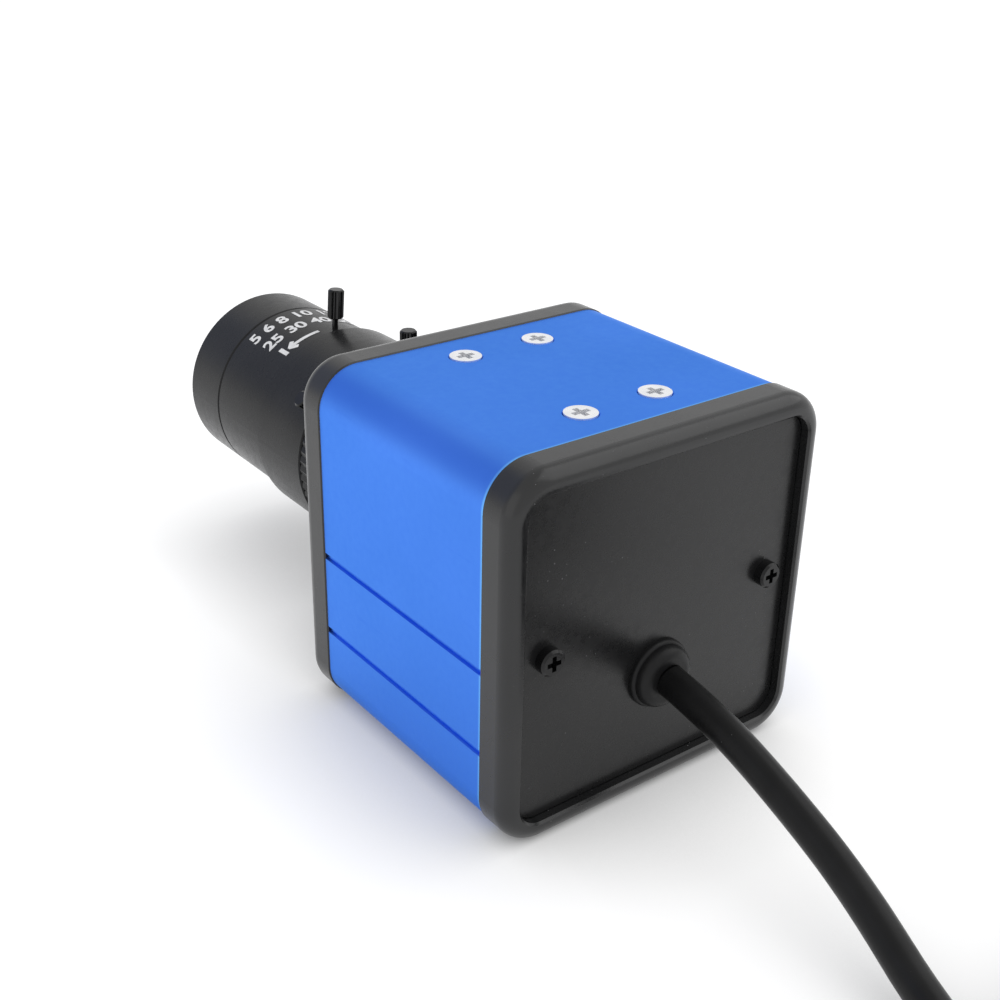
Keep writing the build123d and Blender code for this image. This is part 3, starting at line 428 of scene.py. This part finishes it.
def makeFinish(name, look):
    material = bpy.data.materials.new(name)
    material.use_nodes = True
    tree = material.node_tree
    shader = tree.nodes["Principled BSDF"]
    shader.inputs["Metallic"].default_value = look.get("metallic", 0.0)
    shader.inputs["Specular IOR Level"].default_value = look.get("specular", 0.5)
    shader.inputs["IOR"].default_value = look.get("ior", 1.5)
    shader.inputs["Specular Tint"].default_value = (*look.get("edgeTint", (1.0, 1.0, 1.0)), 1)
    vector = tree.nodes.new("ShaderNodeTexCoord").outputs["Object"]
    grain = useEffect(tree, "fineGrain", vector, Scale=look["grain"])
    mottle = useEffect(tree, "softMottle", vector, Scale=look["mottle"])
    colour = mixColour(tree, mottle.outputs["Factor"], look["base"], look["second"])
    roughness = addRange(tree, grain.outputs["Tone"], 0.0, 1.0, *look["roughness"])
    # painted highlights: the rear rim and the side-groove floors take the lighter cyan
    if "paintedHighlight" in look:
        colour = mixColour(tree, paintedHighlightMask(tree, vector), colour, look["paintedHighlight"])
        colour = mixColour(tree, paintedGrooveLightMask(tree, vector), colour, look["paintedHighlight"])
    if "scratches" in look:
        marks = useEffect(tree, "hairScratches", vector, Amount=look["scratches"]).outputs["Mask"]
        rougher = addMath(tree, "MULTIPLY", marks, wear["scratchRoughness"])
        roughness = addMath(tree, "ADD", roughness, rougher)
    if "dust" in look:
        dust = useEffect(tree, "dustSpecks", vector, Amount=look["dust"]).outputs["Mask"]
        colour = mixColour(tree, dust, colour, wear["dustColour"])
        rougher = addMath(tree, "MULTIPLY", dust, wear["dustRoughness"])
        roughness = addMath(tree, "MAXIMUM", roughness, rougher)
    tree.links.new(colour, shader.inputs["Base Color"])
    tree.links.new(roughness, shader.inputs["Roughness"])
    bump = tree.nodes.new("ShaderNodeBump")
    bump.inputs["Strength"].default_value = 1.0
    bump.inputs["Distance"].default_value = look["bump"]
    tree.links.new(grain.outputs["Height"], bump.inputs["Height"])
    tree.links.new(bump.outputs["Normal"], shader.inputs["Normal"])
    return material


glassLook = {
    "base": (0.86, 0.93, 0.97), "second": (0.90, 0.96, 0.99), "ior": 1.38,
    "coating": (0.48, 0.72, 0.82, 1), "mottle": 60, "dust": 0.03, "dustRoughness": 0.3,
}


def makeGlass():
    material = bpy.data.materials.new("coatedGlass")
    material.use_nodes = True
    tree = material.node_tree
    shader = tree.nodes["Principled BSDF"]
    shader.inputs["Transmission Weight"].default_value = 1.0
    shader.inputs["IOR"].default_value = glassLook["ior"]
    shader.inputs["Specular Tint"].default_value = glassLook["coating"]
    vector = tree.nodes.new("ShaderNodeTexCoord").outputs["Object"]
    mottle = useEffect(tree, "softMottle", vector, Scale=glassLook["mottle"])
    dust = useEffect(tree, "dustSpecks", vector, Amount=glassLook["dust"])
    colour = mixColour(tree, mottle.outputs["Factor"], glassLook["base"], glassLook["second"])
    tree.links.new(colour, shader.inputs["Base Color"])
    roughness = addMath(tree, "MULTIPLY", dust.outputs["Mask"], glassLook["dustRoughness"])
    tree.links.new(roughness, shader.inputs["Roughness"])
    return material


finishes = {name: makeFinish(name, look) for name, look in finishLooks.items()}
finishes["coatedGlass"] = makeGlass()
slotOfFinish = {name: look["slot"] for name, look in finishLooks.items()}
slotOfFinish["coatedGlass"] = "glass"
finishOfSlot = {slot: name for name, slot in slotOfFinish.items() if name != "whitePrint"}


def dressNodes():
    for part in frame["record"]["subparts"]:
        node = nodes[part["node"]]
        finish = finishes[finishOfSlot[part["material_slot"]]]
        for place in node.material_slots:
            place.material = finish


dressNodes()
print("finishes made:", len(finishes))


def newPiece(name, mesh, finish, body, *replaced, sharpAngle=35):
    bmesh.ops.recalc_face_normals(mesh, faces=mesh.faces)
    data = bpy.data.meshes.new(name)
    mesh.to_mesh(data)
    mesh.free()
    data.shade_smooth()
    data.set_sharp_from_angle(angle=math.radians(sharpAngle))
    data.materials.append(finishes[finish])
    piece = bpy.data.objects.new(name, data)
    bpy.context.scene.collection.objects.link(piece)
    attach(piece, body)
    if replaced:
        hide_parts(*replaced)
    return piece


mergeReach = 1e-7  # metres within which a turned shape's points on its axis join


def turnedShape(profile, steps, closed=False):
    # (radius, height) corners spun about Z
    mesh = bmesh.new()
    corners = [mesh.verts.new((radius, 0, height)) for radius, height in profile]
    runs = [mesh.edges.new(pair) for pair in zip(corners, corners[1:])]
    if closed:
        runs.append(mesh.edges.new((corners[-1], corners[0])))
    bmesh.ops.spin(
        mesh, geom=corners + runs, axis=(0, 0, 1), cent=(0, 0, 0),
        angle=2 * math.pi, steps=steps, use_merge=True,
    )
    bmesh.ops.remove_doubles(mesh, verts=mesh.verts, dist=mergeReach)
    return mesh


def laidAhead():
    # turns a shape about Z so that its heights run along the lens axis
    return Matrix.Translation((0, 0, lens["axisHeight"])) @ Matrix.Rotation(math.radians(90), 4, "X")


cable = {
    "exit": (0.0, 0.0293, 0.0204),
    "diameter": 0.0052,
    "length": 1.713,
    "order": 3,
    "steps": 8,  # between two points of the line
    "roundSteps": 7,
    "run": (
        (0.0, 0.0385, 0.0191),
        (0.0008, 0.0520, 0.0155),
        (0.0025, 0.0690, 0.0101),
        (0.0072, 0.0880, 0.0031),
        (0.0171, 0.1226, 0.0031),
    ),
    "tail": (
        (-0.010869, 0.095615, 0.0084),
        (0.000331, 0.100315, 0.0109),
        (0.009931, 0.108815, 0.0130),
        (0.016331, 0.120015, 0.0139),
        (0.018031, 0.131415, 0.0139),
        (0.015431, 0.142515, 0.0139),
        (0.008931, 0.151915, 0.0144),
        (-0.000669, 0.158115, 0.0150),
        (-0.011769, 0.160215, 0.0150),
    ),
}

coil = {
    "middle": (-0.020269, 0.133315),
    "entryAngle": -16.0,  # degrees from +X; the turns go round anticlockwise
    "radii": (0.038875, 0.033625, 0.028375, 0.023125, 0.023125, 0.028375, 0.033625, 0.038875),
    "lowHeight": 0.003125,
    "highHeight": 0.008375,
    "pointsPerTurn": 18,
    "lastPoint": 140,
    "shiftFrom": 315,  # degrees round a turn where it moves over to the next
    "climbFrom": 260,
    "climbTo": 320,
    "climbTurn": 3,
}


def eased(share):
    share = min(max(share, 0.0), 1.0)
    return share * share * (3 - 2 * share)


def coilPoint(step):
    stepAngle = 360 / coil["pointsPerTurn"]
    turn, phase = divmod(step * stepAngle, 360)
    turn = int(turn)
    radii = coil["radii"]
    following = radii[min(turn + 1, len(radii) - 1)]
    share = eased((phase - coil["shiftFrom"]) / (360 - coil["shiftFrom"]))
    radius = radii[turn] + (following - radii[turn]) * share
    radius /= math.cos(math.radians(stepAngle / 2))  # the line runs inside its control points
    climb = 1.0 if turn > coil["climbTurn"] else 0.0
    if turn == coil["climbTurn"]:
        climb = eased((phase - coil["climbFrom"]) / (coil["climbTo"] - coil["climbFrom"]))
    height = coil["lowHeight"] + (coil["highHeight"] - coil["lowHeight"]) * climb
    angle = math.radians(coil["entryAngle"] + phase)
    return (
        coil["middle"][0] + radius * math.cos(angle),
        coil["middle"][1] + radius * math.sin(angle),
        height,
    )


def buildCable():
    turns = [coilPoint(step) for step in range(1, coil["lastPoint"] + 1)]
    route = [cable["exit"], *cable["run"], *turns, *cable["tail"]]
    line = bpy.data.curves.new("cableLead", "CURVE")
    line.dimensions = "3D"
    line.resolution_u = cable["steps"]
    line.bevel_depth = cable["diameter"] / 2
    line.bevel_resolution = cable["roundSteps"]
    line.use_fill_caps = True
    spline = line.splines.new("NURBS")
    spline.points.add(len(route) - 1)
    for point, place in zip(spline.points, route):
        point.co = (*place, 1)
    spline.order_u = cable["order"]
    spline.use_endpoint_u = True
    line.materials.append(finishes["cableJacket"])
    lead = bpy.data.objects.new("cableLead", line)
    bpy.context.scene.collection.objects.link(lead)
    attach(lead, "root")
    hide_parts("cable_run", "cable_coil", "cable_tail")
    return lead


cableLead = buildCable()


straps = {
    "angles": (239.0, 156.0),
    "middleRadius": 0.031,
    "section": (0.022, 0.009, 0.0115),  # across the coil, along it, up
    "corner": 0.0030,
    "cornerSteps": 7,
    "thickness": 0.0005,
    "rounding": 0.00012,
    "roundingSteps": 2,
}


def buildStraps():
    mesh = bmesh.new()
    for angle in straps["angles"]:
        width, along, height = straps["section"]
        made = bmesh.ops.create_cube(mesh, size=1.0)["verts"]
        bmesh.ops.scale(mesh, verts=made, vec=(width, along, height))
        own = set(made)
        ends = [face for face in mesh.faces if set(face.verts) <= own and abs(face.normal.y) > 0.9]
        lengthwise = [
            edge for edge in mesh.edges
            if set(edge.verts) <= own and abs(edge.verts[0].co.y - edge.verts[1].co.y) > along / 2
        ]
        bmesh.ops.delete(mesh, geom=ends, context="FACES_ONLY")
        result = bmesh.ops.bevel(
            mesh, geom=lengthwise, offset=straps["corner"], affect="EDGES",
            segments=straps["cornerSteps"], profile=0.5, material=-1,
        )
        own = {vert for vert in own if vert.is_valid} | set(result["verts"])
        place = (
            Matrix.Translation((*coil["middle"], height / 2))
            @ Matrix.Rotation(math.radians(angle), 4, "Z")
            @ Matrix.Translation((straps["middleRadius"], 0, 0))
        )
        bmesh.ops.transform(mesh, matrix=place, verts=list(own))
    piece = newPiece("tieStraps", mesh, "tieStrap", "root", "cable_ties")
    wall = piece.modifiers.new("wall", "SOLIDIFY")
    wall.thickness = straps["thickness"]
    wall.offset = -1
    rounding = piece.modifiers.new("rounding", "BEVEL")
    rounding.width = straps["rounding"]
    rounding.segments = straps["roundingSteps"]
    rounding.limit_method = "ANGLE"
    return piece


tieStraps = buildStraps()


plug = {
    "direction": 169.287,  # degrees, where the tail's last run points
    "body": (0.020, 0.016, 0.008),
    "bodyStart": 0.006,
    "corner": 0.0016,
    "cornerSteps": 5,
    "ribs": 5,
    "ribPitch": 0.0020,
    "rib": (0.0009, 0.0120, 0.0004),
    "ribCorner": 0.00018,
    "ribCornerSteps": 2,
    "bootSegments": 48,
    "boot": (  # radius and height of each corner, along the cable
        (0.0026, -0.0004), (0.0031, -0.0004), (0.0033, 0.0000), (0.0034, 0.0011), (0.0029, 0.0013),
        (0.0029, 0.0018), (0.0035, 0.0020), (0.0036, 0.0031), (0.0030, 0.0033), (0.0030, 0.0038),
        (0.0036, 0.0040), (0.0037, 0.0062), (0.0026, 0.0062),
    ),
}


def onPlug():
    turn = Matrix.Rotation(math.radians(plug["direction"]), 4, "Z")
    return Matrix.Translation(cable["tail"][-1]) @ turn


def beveledBlock(mesh, size, middle, offset, segments):
    made = bmesh.ops.create_cube(mesh, size=1.0)["verts"]
    bmesh.ops.scale(mesh, verts=made, vec=size)
    bmesh.ops.translate(mesh, verts=made, vec=middle)
    edges = list({edge for vert in made for edge in vert.link_edges})
    bmesh.ops.bevel(
        mesh, geom=edges, offset=offset, affect="EDGES", segments=segments, profile=0.5, material=-1
    )


def buildPlug():
    length, _, height = plug["body"]
    middle = plug["bodyStart"] + length / 2
    grip = bmesh.new()
    beveledBlock(grip, plug["body"], (middle, 0, 0), plug["corner"], plug["cornerSteps"])
    for side in (-1, 1):
        for k in range(plug["ribs"]):
            along = middle + (k - (plug["ribs"] - 1) / 2) * plug["ribPitch"]
            place = (along, 0, side * height / 2)
            beveledBlock(grip, plug["rib"], place, plug["ribCorner"], plug["ribCornerSteps"])
    bmesh.ops.transform(grip, matrix=onPlug(), verts=grip.verts)
    gripPiece = newPiece("plugGrip", grip, "plugMoulding", "root", "plug_overmould")
    boot = turnedShape(plug["boot"], plug["bootSegments"], closed=True)
    lay = onPlug() @ Matrix.Rotation(math.radians(90), 4, "Y")
    bmesh.ops.transform(boot, matrix=lay, verts=boot.verts)
    bootPiece = newPiece("plugBoot", boot, "plugMoulding", "root")
    return gripPiece, bootPiece


plugGrip, plugBoot = buildPlug()
print("cable laid")


lens = {
    "axisHeight": 0.0305,
    "glassSeat": 0.0884,
    "glassRadius": 0.0155,
    "glassClear": 0.0141,
    "glassEdge": 0.0034,
    "domeRadius": 0.038,
    "domeSteps": 12,
    "glassSegments": 96,
    "threadRadius": 0.0162,
    "threadDepth": 0.0003,
    "threadStart": 0.09335,
    "threadEnd": 0.0955,
    "threadPitch": 0.0005,
    "threadRoot": 0.00003,
    "threadSegments": 128,
}


def buildFrontGlass():
    rim = lens["glassSeat"] + lens["glassEdge"]
    clear, curve = lens["glassClear"], lens["domeRadius"]
    rimDrop = curve - math.sqrt(curve**2 - clear**2)
    seat, edge = lens["glassSeat"], lens["glassRadius"]
    profile = [(0, seat), (edge, seat), (edge, rim), (clear, rim)]
    steps = lens["domeSteps"]
    for k in range(1, steps + 1):
        radius = clear * (1 - k / steps)
        profile.append((radius, rim + rimDrop - (curve - math.sqrt(curve**2 - radius**2))))
    glass = turnedShape(profile, lens["glassSegments"])
    bmesh.ops.transform(glass, matrix=laidAhead(), verts=glass.verts)
    newPiece("frontGlass", glass, "coatedGlass", "root", "front_lens")


def buildFilterThread():
    profile = [(lens["threadRadius"], lens["threadEnd"]), (lens["threadRadius"], lens["threadStart"])]
    crest = lens["threadRadius"] - lens["threadDepth"]
    height = lens["threadStart"]
    while height + lens["threadPitch"] < lens["threadEnd"]:
        profile.append((lens["threadRadius"] - lens["threadRoot"], height))
        profile.append((crest, height + lens["threadPitch"] / 2))
        height += lens["threadPitch"]
    thread = turnedShape(profile, lens["threadSegments"], closed=True)
    bmesh.ops.transform(thread, matrix=laidAhead(), verts=thread.verts)
    newPiece("filterThread", thread, "lensBlack", "root", sharpAngle=20)


printing = {
    "radius": 0.0176,
    "lift": 0.00005,
    "thickness": 0.00002,
    "size": 0.0043,
    "boldness": 0.00012,
    "letterSteps": 5,
    "rows": (  # words, start angle in degrees, place along the lens
        ("5 6 8 10 12 20", 39.0, 0.0790),
        ("25 30 40 50", 38.0, 0.0738),
    ),
    "tick": {"angle": 33.5, "along": 0.0700, "size": (0.0009, 0.0030)},
    "arrow": {
        "from": 29.0, "to": 7.0, "along": 0.0697, "stroke": 0.0009,
        "head": 0.0020, "headShift": 0.3, "cuts": 7,
    },
}


def wrap(verts, startAngle, along):
    # bends flat artwork round the zoom ring: x runs back round the ring and y ahead along it
    radius = printing["radius"]
    for vert in verts:
        angle = math.radians(startAngle) - vert.co.x / radius
        reach = radius + printing["lift"] + vert.co.z
        vert.co = (
            reach * math.sin(angle),
            -(along + vert.co.y),
            lens["axisHeight"] + reach * math.cos(angle),
        )


def flatWords(words):
    font = bpy.data.curves.new("words", "FONT")
    font.body = words
    font.size = printing["size"]
    font.resolution_u = printing["letterSteps"]
    font.extrude = printing["thickness"]
    font.offset = printing["boldness"]
    holder = bpy.data.objects.new("words", font)
    bpy.context.scene.collection.objects.link(holder)
    bpy.context.view_layer.update()
    data = bpy.data.meshes.new_from_object(holder.evaluated_get(bpy.context.evaluated_depsgraph_get()))
    bpy.data.objects.remove(holder)
    return data


def flatStroke(mesh, size, middle, turn=0.0):
    made = bmesh.ops.create_cube(mesh, size=1.0)["verts"]
    bmesh.ops.scale(mesh, verts=made, vec=(*size, 2 * printing["thickness"]))
    lean = Matrix.Rotation(math.radians(turn), 3, "Z")
    bmesh.ops.rotate(mesh, verts=made, cent=(0, 0, 0), matrix=lean)
    bmesh.ops.translate(mesh, verts=made, vec=(*middle, 0))


def flatArrow():
    arrow = printing["arrow"]
    mesh = bmesh.new()
    shaft = math.radians(arrow["from"] - arrow["to"]) * printing["radius"]
    flatStroke(mesh, (shaft, arrow["stroke"]), (shaft / 2, 0))
    long = [edge for edge in mesh.edges if edge.calc_length() > shaft / 2]
    bmesh.ops.subdivide_edges(mesh, edges=long, cuts=arrow["cuts"], use_grid_fill=True)
    for side in (-1, 1):
        shift = arrow["head"] * arrow["headShift"]
        middle = (shift, side * shift)
        flatStroke(mesh, (arrow["head"], arrow["stroke"]), middle, side * 45)
    return mesh


def flatTick():
    mesh = bmesh.new()
    flatStroke(mesh, printing["tick"]["size"], (0, 0))
    return mesh


def buildPrinting():
    artwork = []
    for words, angle, along in printing["rows"]:
        letters = bmesh.new()
        letters.from_mesh(flatWords(words))
        artwork.append((letters, angle, along))
    artwork.append((flatTick(), printing["tick"]["angle"], printing["tick"]["along"]))
    artwork.append((flatArrow(), printing["arrow"]["from"], printing["arrow"]["along"]))
    paint = bmesh.new()
    for piece, angle, along in artwork:
        wrap(piece.verts, angle, along)
        flat = bpy.data.meshes.new("artwork")
        piece.to_mesh(flat)
        piece.free()
        paint.from_mesh(flat)
        bpy.data.meshes.remove(flat)
    newPiece("zoomPrinting", paint, "whitePrint", "zoom")


buildFrontGlass()
buildFilterThread()
buildPrinting()
print("lens dressed")
